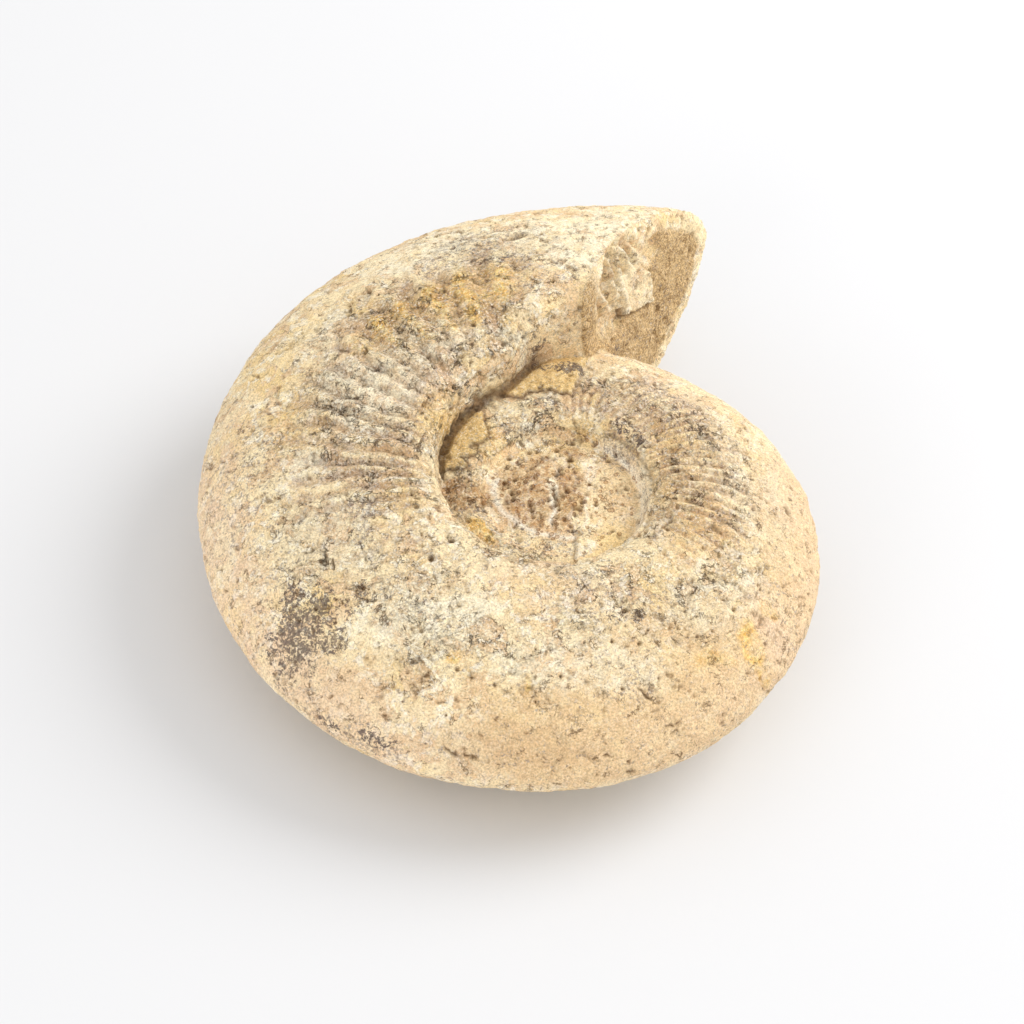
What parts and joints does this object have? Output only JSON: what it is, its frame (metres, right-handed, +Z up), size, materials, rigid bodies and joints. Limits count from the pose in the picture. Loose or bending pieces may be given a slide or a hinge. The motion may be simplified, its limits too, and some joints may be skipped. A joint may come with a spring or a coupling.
{
  "type": "ammonite fossil",
  "caption": "Coiled ammonite fossil, an internal mould in chalky limestone with faint ribs, a shallow umbilicus and a broken end. It lies on its flank as a display or study stone.",
  "frame": {"origin": "middle of the footprint's box, on the surface that the fossil lies on", "axes": "+Z up, close to the axis of the coil; +Y towards the broken end of the outer whorl; +X to its right"},
  "size_m": [0.1288, 0.1522, 0.0546],
  "materials": {
    "limestone": "dry, chalky and pitted, cream to ochre limestone with brown and grey stains"
  },
  "bodies": {
    "root": {"ammonite": "limestone"}
  },
  "joints": []
}
